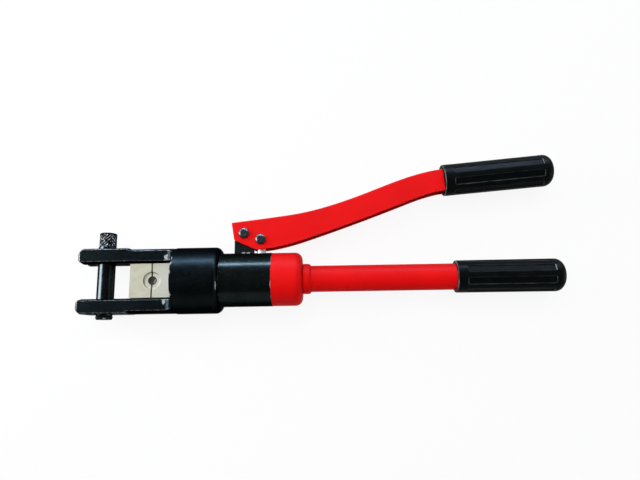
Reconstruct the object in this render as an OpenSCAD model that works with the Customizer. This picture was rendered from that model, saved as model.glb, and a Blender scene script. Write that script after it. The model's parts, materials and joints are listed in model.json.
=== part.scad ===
// Hand-pumped hydraulic crimping tool, lying on its side.
// X runs along the ram axis from the fork to the handles, Y from that axis towards the pump lever,
// and Z up, across the flats of the fork. The origin is the centre of the crimp nest. Millimetres.

/* [Head and fork] */
// Outer diameter of the head barrel
head_d = 68; // [66:0.5:74]
// Wall in front of the ram chamber
front_wall = 7.5; // [7:0.5:12]
// Radius of the rounded rear edge of the barrel
head_edge_r = 6; // [3:0.5:7]
// Clear gap between the fork arms
fork_gap = 35.4; // [35.2:0.1:37]
// Depth of the arms across their milled flats
arm_depth = 29; // [26:0.5:32]
// Depth of the flat pin seats on the outside of the arms, below the barrel
pad_sink = 0.8; // [0.6:0.1:2]
// Depth of the turned outside of the arms below the barrel
arm_sink = 0.5; // [0.2:0.1:1.5]
// Reach of the pin seats behind the pin axis
pad_back = 25.4; // [14:0.2:28]
// Reach of the arm tips past the pin axis
tip_reach = 24.6; // [18:0.1:32]
// Corner cut on the outside of the arm tips
tip_outer_cut = 5; // [2:0.5:6]
// Corner cut on the inside of the arm tips
tip_inner_cut = 3.5; // [1:0.5:5]
// Edge break at the ends of the arms, along the tool
tip_break = 1.8; // [0.5:0.1:3]
// Bevel along the inner edges of the arms, measured across the gap
bevel_y = 2; // [0.5:0.1:3]
// Bevel along the inner edges of the arms, measured in depth
bevel_z = 6; // [2:0.5:8]
// Edge break along the outer edges of the arms
arm_break = 1.2; // [0.4:0.1:2]
// Radius of the cutter run-out where the flats meet the barrel
root_r = 9; // [7:0.5:10]

/* [Dies] */
// Length of each die along the ram axis
die_len = 22.35; // [18:0.05:28]
// Split between the closed dies
die_split = 0.7; // [0.3:0.1:1.5]
// Thickness of the dies
die_depth = 20; // [16:0.5:24]
// Clearance between the dies and the fork arms
die_clear = 0.4; // [0.3:0.1:0.8]
// Diameter of the crimp nest
nest_d = 7.5; // [4:0.1:12]
// Diameter of the round recess about the nest
sink_d = 18.2; // [14:0.2:24]
// Depth of the round recess about the nest
sink_depth = 1.2; // [0.4:0.1:2]
// Width of the sloping wall of the recess
sink_slope = 1.5; // [0.5:0.1:3]
// Width of the guide tongue on each side of a die
tongue_w = 8; // [5:0.5:10]
// Height of the guide tongue
tongue_h = 2.2; // [1:0.1:3]
// Depth of the round seat that meets the lock pin
seat_depth = 1.25; // [1:0.05:4]
// Clearance between the seat and the lock pin
seat_clear = 0.4; // [0.3:0.1:0.8]
// Diameter of the shank that holds a die in the ram
shank_d = 12; // [8:0.5:14]
// Length of the shank
shank_len = 8; // [6:0.5:9]

/* [Ram] */
// Diameter of the ram rod
ram_d = 34; // [30:0.5:34.5]
// Wall of the head round the ram chamber
chamber_wall = 11; // [10.5:0.5:13]
// Length of the piston
piston_len = 12; // [11:0.5:16]
// Travel of the ram
ram_stroke = 20; // [12:0.5:26]
// Spare length of the chamber past the travel
piston_slack = 0.5; // [0.3:0.1:3]
// How far the ram face lies behind the root of the fork
ram_recess = 1; // [0.2:0.1:1.5]
// Wall between the die and the spring hole
ram_nose = 15; // [14:0.5:18]
// Outer diameter of the return spring
spring_d = 14; // [12:0.5:16]
// Wire of the return spring
spring_wire = 2; // [1.5:0.1:2.4]
// Turns of the return spring
spring_turns = 8; // [5:1:9]

/* [Lock pin] */
// Diameter of the lock pin
pin_d = 17.3; // [16:0.1:20]
// Diameter of the plain collar
pin_collar_d = 17.9; // [17.7:0.1:22]
// Height of the plain collar
pin_collar_h = 3; // [2:0.1:5]
// Height of the knurled knob above the collar
knob_h = 14.8; // [10:0.1:20]
// Rounded top edge of the knob
knob_edge_r = 1.6; // [0.8:0.1:3]
// Length of the pin past the far arm
pin_tail = 5.2; // [4:0.1:9]
// Diameter of the tail
tail_d = 16.2; // [15:0.1:16.8]

/* [Pump body] */
// Diameter of the pump body
body_d = 55; // [54.5:0.5:58]
// Length of the pump body between the head and the cap
body_len = 51.9; // [46:0.1:60]
// Diameter of the spigot screwed into the head
spigot_d = 50; // [48:0.5:52]
// Length of the spigot screwed into the head
spigot_len = 6.3; // [6:0.1:12]
// Step from the pump body down to the spigot that carries the cap
neck_step = 5.5; // [4.5:0.5:6.5]
// Length of the spigot that carries the cap
neck_len = 10; // [8:0.5:12]
// Diameter of the pump plunger
plunger_d = 9; // [8:0.5:10]
// Metal between the pump chamber and the underside of the pump body
chamber_floor = 25.5; // [25:0.5:27]
// Diameter of the gland nut
gland_d = 15; // [14:0.5:16]
// Diameter of the valve balls
ball_d = 5; // [4:0.5:5.5]
// Diameter of the drilled oil ways
port_d = 3; // [2:0.5:3.5]

/* [Cap and fixed handle] */
// Step from the pump body down to the cap
cap_step = 0.25; // [0:0.05:1]
// Length of the cap
cap_len = 30.8; // [28:0.1:40]
// Radius of the rounded rear edge of the cap
cap_edge_r = 7.5; // [3:0.5:9]
// Thickness of the rear wall of the cap
cap_wall = 10; // [9.5:0.5:12]
// Diameter of the handle collar
collar_d = 31; // [29:0.5:36]
// Length of the handle collar
collar_len = 8.3; // [5:0.1:12]
// Diameter of the threaded stem of the handle
stem_d = 20; // [18:0.5:22]
// Outer diameter of the handle tube
tube_d = 26.9; // [26:0.1:28]
// Wall of the handle tube
tube_wall = 2.6; // [2:0.1:3]
// Length of the handle tube
tube_len = 251.6; // [220:0.1:300]
// Length of the grip on the fixed handle
handle_grip_len = 110; // [100:1:140]

/* [Grips] */
// Diameter of a grip at its open end
grip_d = 33.1; // [32.8:0.1:36]
// Diameter of a grip at its closed end
grip_end_d = 33.7; // [33.2:0.1:37]
// Length of the domed end
grip_dome = 9; // [6:0.5:12]
// Recessed panels around a grip
flute_n = 8; // [6:1:10]
// Width of a recessed panel
flute_w = 6.6; // [4:0.2:8]
// Depth of a recessed panel
flute_depth = 0.9; // [0.4:0.1:1.2]
// Plain band at the open end
flute_start = 9.5; // [8:0.5:16]
// Plain band at the closed end
flute_end = 9.5; // [9.5:0.5:16]

/* [Pump lever] */
// Width of the lever channel
lever_w = 18; // [17:0.5:20]
// Sheet of the lever channel
lever_wall = 2.5; // [2:0.1:2.6]
// Distance of the fulcrum behind the front of the pump body
fulcrum_back = 23.15; // [20:0.05:24]
// Height of the fulcrum above the pump body
fulcrum_rise = 19.65; // [18:0.05:24]
// Distance from the fulcrum to the drive bolt, along the tool
drive_x = 17.1; // [16:0.1:20]
// Distance of the drive bolt below the fulcrum
drive_drop = 6.5; // [4:0.1:8]
// Distance from the fulcrum to the lip of the lever grip, along the tool
lever_reach = 208.35; // [180:0.05:230]
// Height of the lever grip axis above the fulcrum, at its lip
lever_rise = 55; // [45:0.1:70]
// Slope of the lever grip against the ram axis, in degrees
grip_slope = 4.8; // [2:0.1:8]
// Length of the grip on the lever
lever_grip_len = 115.3; // [100:0.1:140]
// Height of the lever tang inside the grip
tang_h = 23; // [18:0.5:24]
// Distance of the tang's centre below the axis of the grip
tang_drop = 0.8; // [0:0.1:1.5]
// Thread diameter of the lever bolts
bolt_d = 6; // [5:0.5:7]
// Size of the bolt heads and nuts across flats
bolt_flats = 10; // [9:0.5:11]
// Height of the bolt heads
bolt_head_h = 4.2; // [3:0.1:6]

/* [Hidden] */
$fn = 96;

// Colours
black_steel = [0.05, 0.06, 0.07];
red_paint = [0.88, 0.07, 0.07];
die_steel = [0.80, 0.79, 0.73];
bright_steel = [0.72, 0.73, 0.75];
spring_steel = [0.45, 0.46, 0.48];
bolt_steel = [0.20, 0.22, 0.25];
bronze = [0.72, 0.52, 0.28];
rubber = [0.04, 0.04, 0.045];
seal_rubber = [0.10, 0.10, 0.11];
seal_plastic = [0.88, 0.87, 0.82];

// Clearances and the overrun of every cut
over = 1;
fit = 0.05;
slip = 0.2;
loose = 0.3;

// Places along the ram axis, from the nest towards the handles
die_face_x = die_split / 2 + die_len;
ram_face_x = die_face_x;
root_x = ram_face_x + ram_recess;
chamber_x = root_x + front_wall;
chamber_len = piston_len + ram_stroke + piston_slack;
spigot_x = chamber_x + chamber_len;
body_x = spigot_x + spigot_len;
piston_x = spigot_x - piston_len;
cap_x = body_x + body_len;
neck_d = body_d - 2 * neck_step;
neck_end_x = cap_x + neck_len;
cap_end_x = cap_x + cap_len;
cap_inside_x = cap_end_x - cap_wall;
collar_x = cap_end_x + slip;
tube_x = collar_x + collar_len;
tube_end_x = tube_x + tube_len;

// Places along the ram axis, from the nest towards the fork tips
seat_r = pin_d / 2 + seat_clear;
seat_x = -die_face_x + seat_depth - seat_r;
pin_x = seat_x - ram_stroke;
tip_x = pin_x - tip_reach;
pad_x = pin_x + pad_back;
pad_h = head_d / 2 - pad_sink;
arm_r = head_d / 2 - arm_sink;

// Fork
arm_half = arm_depth / 2;
gap_half = fork_gap / 2;
bevel_half = arm_half - bevel_z;
groove_half = tongue_w / 2 + slip;
groove_y = gap_half + tongue_h;
die_half = gap_half - die_clear;

// Ram and its rings
bush_wall = 2.5;
wiper_len = 2.5;
wiper_d = ram_d + 2 * bush_wall;
ring_depth = 3;
seal_len = 4;
backup_len = 1.5;
ring_back = 2;
seal_x = spigot_x - ring_back - seal_len;
backup_x = seal_x - backup_len;
piston_d = head_d - 2 * chamber_wall;
ring_d = piston_d - 2 * ring_depth;
detent_d = 5;
detent_nose_d = 3;
detent_nose = 1.2;
detent_x = ram_face_x + shank_len / 2;
detent_slot = shank_d / 2 - detent_nose;

// Return spring and its two studs
spring_hole_d = spring_d + 4 * loose;
spring_core_d = spring_d - 2 * spring_wire - 2 * loose;
stud_flange = 1.5;
stud_core = 5;
stud_stem = 4.5;
stud_stem_d = 6;
spring_hole_x = ram_face_x + ram_nose;
stud_front_x = spring_hole_x + stud_flange;
stud_pocket = 7.5;
stud_rear_x = spigot_x + stud_pocket - stud_flange;
stud_rear_stem = 11;
valve_x = stud_rear_x + stud_flange + stud_rear_stem;

// Body seal, set in a groove on the spigot
cord_d = 2;
body_seal_x = spigot_x + spigot_len / 2;
cap_seal_x = cap_x + neck_len / 2;

// Pump cylinder, on the drive bolt's place
body_r = body_d / 2;
fulcrum_x = body_x + fulcrum_back;
fulcrum_y = body_r + fulcrum_rise;
plunger_x = fulcrum_x + drive_x;
drive_y = fulcrum_y - drive_drop;
plunger_r = plunger_d / 2;
plunger_low = 5;
gland_len = 5;
gland_sink = 1;
gland_top = body_r - gland_sink;
packing_len = 3;
packing_step = 1;
packing_d = gland_d - 2 * packing_step;
packing_low = gland_top - gland_len - packing_len;
spanner_d = 2;

// Valves: the suction seat is screwed in below the pump chamber, the delivery ball sits on the ram
// axis, and the relief ball below it
ball_r = ball_d / 2;
port_r = port_d / 2;
ball_lift = sqrt(ball_r * ball_r - port_r * port_r) + fit;
valve_room = 1;
valve_d = ball_d + 2 * valve_room;
valve_wire = 0.8;
valve_turns = 3;
relief_turns = 5;
valve_spring_len = 5;
valve_shoulder = 1.5;
seat_len = 4.5;
chamber_low = chamber_floor - body_r;
suction_top = chamber_low - valve_shoulder;
suction_ball_y = suction_top - valve_spring_len - slip - ball_r;
suction_seat_y = suction_ball_y - ball_lift;
feed_y = suction_seat_y - seat_len - port_d;
flush = 1.5;
plug_screw_len = 3.5;
screw_low = flush - body_r;
screw_top = screw_low + plug_screw_len;
delivery_seat_x = plunger_x - plunger_r - valve_shoulder;
delivery_ball_x = delivery_seat_x - ball_lift;
stud_end_x = delivery_ball_x - ball_r - 2 * slip - valve_spring_len;
relief_x = valve_x + valve_wire + port_r;
relief_seat_y = -valve_d / 2 - port_d;
relief_ball_y = relief_seat_y - ball_lift;
relief_spring_y = relief_ball_y - ball_r - slip;
relief_spring_len = relief_spring_y - slip - screw_top;
key_d = 3;
key_depth = 2;
release_z = spring_hole_d / 2 + port_d;
release_x = neck_end_x - neck_len / 2;
cross_d = port_d - 2 * slip;

// Lug that carries the lever
lug_play = 0.5;
lug_w = lever_w - 2 * lever_wall - 2 * lug_play;
lug_half_x = 9;
lug_front = 10.3;
lug_r = 8;
lug_sink = 5;
lug_low = sqrt(body_r * body_r - lug_w * lug_w / 4) - lug_sink;

// Cap, handle stem, needle and bladder
cap_d = body_d - 2 * cap_step;
needle_d = 8;
needle_socket = 8;
stem_reach = 4;
stem_x = cap_inside_x - stem_reach;
needle_tip_x = neck_end_x + fit;
needle_cone = 3;
needle_way_d = 3;
stem_way_d = 5;
stem_seal_x = cap_inside_x + cap_wall / 2;
tube_in_d = tube_d - 2 * tube_wall;
collar_cut = 1.5;
plug_len = 12;
nipple_d = 12;
nipple_len = 14;
bladder_wall = 1.6;
bladder_d = tube_in_d - 4 * loose;
bladder_len = 130;
bladder_taper = 8;
bladder_x = tube_x + plug_len + loose;
clamp_len = 6;
clamp_wall = 1.4;
clamp_gap = 3;
grip_end_wall = 5.8;
handle_grip_x = tube_end_x - handle_grip_len + grip_end_wall;
end_plug_len = 8;

// Grip lip and dome
lip_r = 1.2;
lip_inner_cut = 1;
dome_steps = 10;
dome_flat_share = 0.45;

// Lever outline: knots of [place along, height, slope] from the fulcrum, as shares of the lever's
// reach and rise, with the slope in units of rise over reach. Both edges end on the tang.
upper_shares = [[-0.063, 0.213, 0.42], [0.225, 0.345, 0.51], [0.681, 0.854, 1.48]];
lower_shares = [[0.058, -0.306, 0.07], [0.321, -0.100, 1.24], [0.810, 0.564, 1.46]];
nose_shares = [-0.049, -0.125];
curve_steps = 12;
lever_lip = 4;
tang_len = lever_grip_len - 3 * grip_end_wall;
tang_clear = 0.1;
slot_travel = 1.8;
slot_rise = 0.5;
eye_half_x = 7.5;
eye_top = 7;
washer_d = 11.5;
washer_h = 1.2;
nut_h = 5;
thread_past = 1.5;
head_cut = 1;

// Knurl and tail of the lock pin
tail_edge = 1.5;
tail_ring_back = 2.6;
pin_ring_d = 1.8;
pin_ring_r = pin_d / 2 - pin_ring_d / 2;

function arc(cx, cy, r, a0, a1, n) = [
    for (i = [0:n]) let (a = a0 + (a1 - a0) * i / n) [cx + r * cos(a), cy + r * sin(a)]
];

// A smooth curve through knots of [x, y, slope]
function hermite(a, b, t) =
    let (w = b[0] - a[0], s = t * t * (3 - 2 * t))
    [a[0] + w * t,
     a[1] + (b[1] - a[1]) * s + w * t * (1 - t) * (a[2] * (1 - t) - b[2] * t)];
function smooth(knots) = [
    for (k = [0:len(knots) - 2]) for (i = [0:curve_steps - 1])
        hermite(knots[k], knots[k + 1], i / curve_steps),
    [knots[len(knots) - 1][0], knots[len(knots) - 1][1]]
];
function lever_place(p) = [fulcrum_x + p[0] * lever_reach, fulcrum_y + p[1] * lever_rise];
function lever_knot(p) = concat(lever_place(p), p[2] * lever_rise / lever_reach);
function tang_place(along, across) = [
    fulcrum_x + lever_reach + along * cos(grip_slope) - across * sin(grip_slope),
    fulcrum_y + lever_rise + along * sin(grip_slope) + across * cos(grip_slope)
];
function tang_edge(along, side) = tang_place(along, side * tang_h / 2 - tang_drop);
function tang_knot(side) = concat(tang_edge(lever_lip, side), tan(grip_slope));
function lever_edge(shares, side) = smooth(concat([for (p = shares) lever_knot(p)], [tang_knot(side)]));
function backwards(list) = [for (i = [len(list) - 1:-1:0]) list[i]];

module rod_x(x0, x1, d) { translate([x0, 0, 0]) rotate([0, 90, 0]) cylinder(d = d, h = x1 - x0); }
module rod_y(x, y0, y1, d) { translate([x, y0, 0]) rotate([-90, 0, 0]) cylinder(d = d, h = y1 - y0); }
module rod_z(x, y, z0, z1, d) { translate([x, y, z0]) cylinder(d = d, h = z1 - z0); }
module block(x0, x1, y0, y1, z0, z1) { translate([x0, y0, z0]) cube([x1 - x0, y1 - y0, z1 - z0]); }
module hex_z(x, y, z0, z1) {
    translate([x, y, z0]) cylinder(d = bolt_flats / cos(30), h = z1 - z0, $fn = 6);
}

// A turned shape about the X axis, from points of [radius, place along X]
module turned(points) { rotate([0, 90, 0]) rotate_extrude() polygon(points); }

// A ring of round cord about the X axis
module cord_ring(x, r, d) {
    translate([x, 0, 0]) rotate([0, 90, 0]) rotate_extrude() translate([r, 0]) circle(d = d, $fn = 24);
}

// A round cord set in a groove of the same centre, flush with a spigot of radius r
module groove_seal(x, r) { color(seal_rubber) cord_ring(x, r - cord_d / 4 - fit / 2, cord_d / 2 - fit); }

// A ring of rectangular section about the X axis
module band_x(x0, x1, outer_d, inner_d) {
    difference() {
        rod_x(x0, x1, outer_d);
        rod_x(x0 - over, x1 + over, inner_d);
    }
}

// A coil along +Z with its axis on Z, from the height of its first wire centre to that of its last
module coil(r, wire, z0, z1, turns) {
    sides = 6;
    steps = 12;
    last = turns * steps;
    points = [for (i = [0:last]) for (k = [0:sides - 1])
        let (a = 360 * i / steps, b = 360 * k / sides, q = r + wire / 2 * cos(b))
        [q * cos(a), q * sin(a), z0 + (z1 - z0) * i / last + wire / 2 * sin(b)]];
    walls = [for (i = [0:last - 1]) for (k = [0:sides - 1]) for (half = [0, 1])
        let (n = (k + 1) % sides, a = i * sides, b = a + sides)
        half == 0 ? [a + k, b + k, b + n] : [a + k, b + n, a + n]];
    first_end = [for (k = [1:sides - 2]) [0, k, k + 1]];
    last_end = [for (k = [1:sides - 2]) [last * sides, last * sides + k + 1, last * sides + k]];
    polyhedron(points, concat(walls, first_end, last_end));
}

// Section of one fork arm across the tool, out to height h
module arm_section(h) {
    polygon([
        [gap_half, -bevel_half], [gap_half + bevel_y, -arm_half], [h - arm_break, -arm_half],
        [h, arm_break - arm_half], [h, arm_half - arm_break], [h - arm_break, arm_half],
        [gap_half + bevel_y, arm_half], [gap_half, bevel_half]
    ]);
}

// One fork arm as a bar along the tool
module arm_bar(x0, x1, h) {
    translate([x0, 0, 0]) rotate([90, 0, 90]) linear_extrude(height = x1 - x0) arm_section(h);
}

// Plan of one arm, with the corners of its tip cut off
module arm_plan() {
    linear_extrude(height = 2 * arm_depth, center = true) polygon([
        [tip_x + tip_inner_cut, gap_half], [tip_x, gap_half + tip_inner_cut],
        [tip_x, pad_h - tip_outer_cut], [tip_x + tip_outer_cut, pad_h],
        [pad_x, pad_h], [pad_x + arm_break, head_d / 2], [root_x + over, head_d / 2],
        [root_x + over, gap_half]
    ]);
}

// Side view of an arm, with the edges of its end broken
module arm_side() {
    rotate([90, 0, 0]) linear_extrude(height = 2 * head_d, center = true) polygon([
        [tip_x, tip_break - arm_half], [tip_x + tip_break, -arm_half], [root_x + over, -arm_half],
        [root_x + over, arm_half], [tip_x + tip_break, arm_half], [tip_x, arm_half - tip_break]
    ]);
}

module fork_arm() {
    intersection() {
        arm_plan();
        arm_side();
        union() {
            arm_bar(tip_x, pad_x + arm_break, pad_h);
            intersection() {
                arm_bar(pad_x, root_x + over, head_d / 2);
                rod_x(pad_x - over, root_x + 2 * over, 2 * arm_r);
            }
        }
    }
}

// Concave run-out between the flats of an arm and the barrel
module root_fillet() {
    intersection() {
        rod_x(root_x - root_r, root_x + over, 2 * arm_r);
        translate([0, head_d, 0]) rotate([90, 0, 0])
            linear_extrude(height = head_d - gap_half - bevel_y) polygon(concat(
                arc(root_x - root_r, arm_half + root_r, root_r, -90, 0, 8),
                [[root_x + over, arm_half + root_r], [root_x + over, arm_half - over],
                 [root_x - root_r, arm_half - over]]
            ));
    }
}

module head_yoke() {
    color(black_steel) difference() {
        union() {
            turned(concat(
                [[0, root_x], [head_d / 2 - arm_break, root_x], [head_d / 2, root_x + arm_break]],
                arc(head_d / 2 - head_edge_r, body_x - head_edge_r, head_edge_r, 0, 90, 8),
                [[0, body_x]]
            ));
            for (side = [0, 1]) mirror([0, side, 0]) {
                fork_arm();
                for (face = [0, 1]) mirror([0, 0, face]) root_fillet();
            }
        }
        rod_x(root_x - over, root_x + wiper_len, wiper_d);
        rod_x(root_x, chamber_x + over, ram_d + 2 * bush_wall);
        rod_x(chamber_x, spigot_x + over, piston_d);
        rod_x(spigot_x, body_x + over, spigot_d);
        rod_y(pin_x, -head_d, head_d, pin_d + 2 * fit);
        block(tip_x - over, root_x, -groove_y - slip, groove_y + slip, -groove_half, groove_half);
    }
}

module ram_bush() {
    color(bronze) band_x(root_x + wiper_len, chamber_x, ram_d + 2 * bush_wall, ram_d + 2 * fit);
}

module rod_wiper() { color(seal_rubber) band_x(root_x, root_x + wiper_len, wiper_d, ram_d + 2 * fit); }

// Cylinder with its spigots, drilled for the pump, the valves and the oil ways
module pump_body() {
    color(black_steel) difference() {
        union() {
            rod_x(spigot_x, body_x + over, spigot_d);
            rod_x(body_x, cap_x, body_d);
            rod_x(cap_x - over, neck_end_x, neck_d);
        }
        cord_ring(body_seal_x, spigot_d / 2, cord_d);
        cord_ring(cap_seal_x, neck_d / 2, cord_d);
        rod_x(spigot_x - over, spigot_x + stud_pocket, spring_hole_d);
        rod_x(spigot_x, valve_x, stud_stem_d);
        rod_x(valve_x - over, delivery_seat_x, valve_d);
        rod_x(delivery_seat_x - over, plunger_x, port_d);
        rod_y(plunger_x, chamber_low, body_r + over, plunger_d + 2 * fit);
        rod_y(plunger_x, packing_low, body_r + over, packing_d);
        rod_y(plunger_x, gland_top - gland_len, body_r + over, gland_d);
        rod_y(plunger_x, -body_r, chamber_low + over, port_d);
        rod_y(plunger_x, -body_r - over, suction_top, valve_d);
        rod_y(relief_x, relief_seat_y - over, 0, port_d);
        rod_y(relief_x, -body_r - over, relief_seat_y, valve_d);
        translate([0, feed_y, 0]) rod_x(relief_x, neck_end_x + over, port_d);
        translate([0, 0, release_z]) rod_x(spigot_x - over, release_x, port_d);
        rod_x(release_x, neck_end_x + over, port_d);
        rod_z(release_x, 0, 0, release_z + over, cross_d);
        block(fulcrum_x - lug_front, fulcrum_x + lug_half_x, lug_low, body_d, -lug_w / 2, lug_w / 2);
    }
}

module body_seal() { groove_seal(body_seal_x, spigot_d / 2); }

module cap_seal() { groove_seal(cap_seal_x, neck_d / 2); }

// Cup that closes the back of the pump and guides the handle stem
module reservoir_cap() {
    color(red_paint) difference() {
        turned(concat(
            [[0, cap_x], [cap_d / 2, cap_x]],
            arc(cap_d / 2 - cap_edge_r, cap_end_x - cap_edge_r, cap_edge_r, 0, 90, 10),
            [[0, cap_end_x]]
        ));
        rod_x(cap_x - over, cap_inside_x, neck_d);
        rod_x(cap_x, cap_end_x + over, stem_d + 2 * fit);
    }
}

// Upright lug let into the pump body, bored for the lever's fulcrum
module fulcrum_bracket() {
    color(black_steel) difference() {
        translate([0, 0, -lug_w / 2]) linear_extrude(height = lug_w) polygon(concat(
            [[fulcrum_x - lug_front, lug_low], [fulcrum_x + lug_half_x, lug_low],
             [fulcrum_x + lug_half_x, body_r]],
            arc(fulcrum_x, fulcrum_y, lug_r, 0, 150, 12),
            [[fulcrum_x - lug_front, fulcrum_y - lug_r]]
        ));
        rod_z(fulcrum_x, fulcrum_y, -lug_w, lug_w, bolt_d + 2 * fit);
    }
}

module gland_nut() {
    color(bright_steel) difference() {
        rod_y(plunger_x, gland_top - gland_len, gland_top, gland_d);
        rod_y(plunger_x, 0, body_d, plunger_d + 2 * fit);
        for (side = [-1, 1]) translate([0, 0, side * (plunger_r + gland_d / 2) / 2])
            rod_y(plunger_x, gland_top - spanner_d, body_d, spanner_d);
    }
}

module plunger_packing() {
    color(seal_plastic) difference() {
        rod_y(plunger_x, packing_low, packing_low + packing_len, packing_d);
        rod_y(plunger_x, 0, body_d, plunger_d + 2 * fit);
    }
}

module suction_seat() {
    color(bright_steel) difference() {
        rod_y(plunger_x, suction_seat_y - seat_len, suction_seat_y, valve_d);
        rod_y(plunger_x, -body_d, 0, port_d);
    }
}

module suction_ball() { color(bright_steel) translate([plunger_x, suction_ball_y, 0]) sphere(d = ball_d); }

// A valve spring along +Z from the origin
module valve_coil(length, turns) {
    coil((ball_d - valve_wire) / 2, valve_wire, valve_wire / 2, length - valve_wire / 2, turns);
}

module suction_spring() {
    color(spring_steel) translate([plunger_x, suction_top - valve_spring_len, 0]) rotate([-90, 0, 0])
        valve_coil(valve_spring_len, valve_turns);
}

// A screw plug with a hexagon key socket, just inside the underside of the body
module key_plug(x) {
    color(bolt_steel) difference() {
        rod_y(x, screw_low, screw_top, valve_d);
        translate([x, screw_low - over, 0]) rotate([-90, 0, 0])
            cylinder(d = key_d / cos(30), h = key_depth + over, $fn = 6);
    }
}

module suction_plug() { key_plug(plunger_x); }

module delivery_ball() { color(bright_steel) translate([delivery_ball_x, 0, 0]) sphere(d = ball_d); }

module delivery_spring() {
    color(spring_steel) translate([delivery_ball_x - ball_r - slip - valve_spring_len, 0, 0])
        rotate([0, 90, 0]) valve_coil(valve_spring_len, valve_turns);
}

module relief_ball() { color(bright_steel) translate([relief_x, relief_ball_y, 0]) sphere(d = ball_d); }

module relief_spring() {
    color(spring_steel) translate([relief_x, relief_spring_y - relief_spring_len, 0]) rotate([-90, 0, 0])
        valve_coil(relief_spring_len, relief_turns);
}

module relief_screw() { key_plug(relief_x); }

// Hollow stud screwed into the body: it holds the return spring and stops the delivery spring
module spring_anchor_rear() {
    color(bright_steel) difference() {
        union() {
            rod_x(stud_rear_x - stud_core, stud_rear_x + over, spring_core_d);
            rod_x(stud_rear_x, stud_rear_x + stud_flange, spring_d);
            rod_x(stud_rear_x, stud_end_x, stud_stem_d - 2 * fit);
        }
        rod_x(spigot_x - spring_hole_x, cap_x, port_d);
    }
}

module return_spring() {
    first = stud_front_x + spring_wire / 2 + slip;
    last = stud_rear_x - spring_wire / 2 - slip;
    color(spring_steel) rotate([0, 90, 0])
        coil((spring_d - spring_wire) / 2, spring_wire, first, last, spring_turns);
}

// Collar with the threaded stem in front and the tube plug and nipple behind
module handle_collar() {
    color(red_paint) difference() {
        union() {
            rod_x(stem_x, collar_x + over, stem_d);
            turned([
                [0, collar_x], [collar_d / 2, collar_x], [collar_d / 2, tube_x - collar_cut],
                [collar_d / 2 - collar_cut, tube_x], [0, tube_x]
            ]);
            rod_x(tube_x - over, tube_x + plug_len, tube_in_d);
            rod_x(tube_x, tube_x + plug_len + nipple_len, nipple_d);
        }
        cord_ring(stem_seal_x, stem_d / 2, cord_d);
        rod_x(stem_x - over, stem_x + needle_socket, needle_d);
        rod_x(stem_x, tube_x + plug_len + nipple_len + over, stem_way_d);
    }
}

module stem_seal() { groove_seal(stem_seal_x, stem_d / 2); }

// Needle that closes the release port, drilled to let the oil past
module release_needle() {
    color(bright_steel) difference() {
        turned([
            [0, needle_tip_x], [port_r, needle_tip_x], [needle_d / 2, needle_tip_x + needle_cone],
            [needle_d / 2, stem_x + needle_socket], [0, stem_x + needle_socket]
        ]);
        rod_x(needle_tip_x + 2 * needle_cone, cap_end_x, needle_way_d);
        rod_z(needle_tip_x + 2 * needle_cone + needle_way_d / 2, 0, -needle_d, needle_d, needle_way_d);
    }
}

module handle_tube() { color(red_paint) band_x(tube_x, tube_end_x, tube_d, tube_in_d); }

module tube_plug() { color(seal_rubber) rod_x(tube_end_x - end_plug_len, tube_end_x, tube_in_d); }

// Rubber bag for the oil, clamped over the nipple
module oil_bladder() {
    neck_x = bladder_x + nipple_len - loose;
    end_x = bladder_x + bladder_len;
    neck_r = nipple_d / 2;
    bag_r = bladder_d / 2;
    color(seal_rubber) turned([
        [neck_r + fit, bladder_x], [neck_r + bladder_wall, bladder_x], [neck_r + bladder_wall, neck_x],
        [bag_r, neck_x + bladder_taper], [bag_r, end_x - bladder_taper], [bag_r - bladder_taper / 2, end_x],
        [0, end_x], [0, end_x - bladder_wall], [bag_r - bladder_taper / 2, end_x - bladder_wall],
        [bag_r - bladder_wall, end_x - bladder_taper], [bag_r - bladder_wall, neck_x + bladder_taper],
        [neck_r + fit, neck_x]
    ]);
}

module bladder_clamp() {
    inner = nipple_d + 2 * bladder_wall + 2 * fit;
    first = bladder_x + clamp_gap;
    color(bright_steel) band_x(first, first + clamp_len, inner + 2 * clamp_wall, inner);
}

// Outside of a grip along +X from its lip, with the panels sunk into it
module grip_body(length) {
    lip = grip_d / 2;
    end = grip_end_d / 2;
    flat = end * dome_flat_share;
    difference() {
        turned(concat(
            [[0, 0], [lip - lip_r, 0]],
            arc(lip - lip_r, lip_r, lip_r, -90, 0, 5),
            [for (i = [0:dome_steps]) let (a = 90 * i / dome_steps)
                [flat + (end - flat) * cos(a), length - grip_dome + grip_dome * sin(a)]],
            [[0, length]]
        ));
        for (i = [0:flute_n - 1]) rotate([360 * (i + 1 / 2) / flute_n, 0, 0])
            block(flute_start, length - flute_end, -flute_w / 2, flute_w / 2,
                lip - flute_depth, end + over);
    }
}

module handle_grip() {
    color(rubber) translate([handle_grip_x, 0, 0]) difference() {
        grip_body(handle_grip_len);
        rod_x(-over, handle_grip_len - grip_end_wall, tube_d + 2 * fit);
        turned([
            [0, -lip_inner_cut], [tube_d / 2 + 2 * lip_inner_cut, -lip_inner_cut],
            [tube_d / 2, lip_inner_cut], [0, lip_inner_cut]
        ]);
    }
}

// Places things along the lever grip's axis, from its lip
module on_lever_grip() {
    translate([fulcrum_x + lever_reach, fulcrum_y + lever_rise, 0]) rotate([0, 0, grip_slope]) children();
}

module lever_outline() {
    polygon(concat(
        lever_edge(upper_shares, 1),
        [tang_edge(tang_len, 1), tang_edge(tang_len, -1)],
        backwards(lever_edge(lower_shares, -1)),
        [lever_place(nose_shares)]
    ));
}

// Side view of the space inside the channel: the outline lowered by the sheet, and open below
module lever_inside() {
    edge = concat(lever_edge(upper_shares, 1), [tang_edge(tang_len + over, 1)]);
    top = [for (p = edge) p - [0, lever_wall]];
    first = top[0] - [over, 0];
    last = top[len(top) - 1];
    polygon(concat([first], top, [[last[0], 0], [first[0], 0]]));
}

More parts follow.
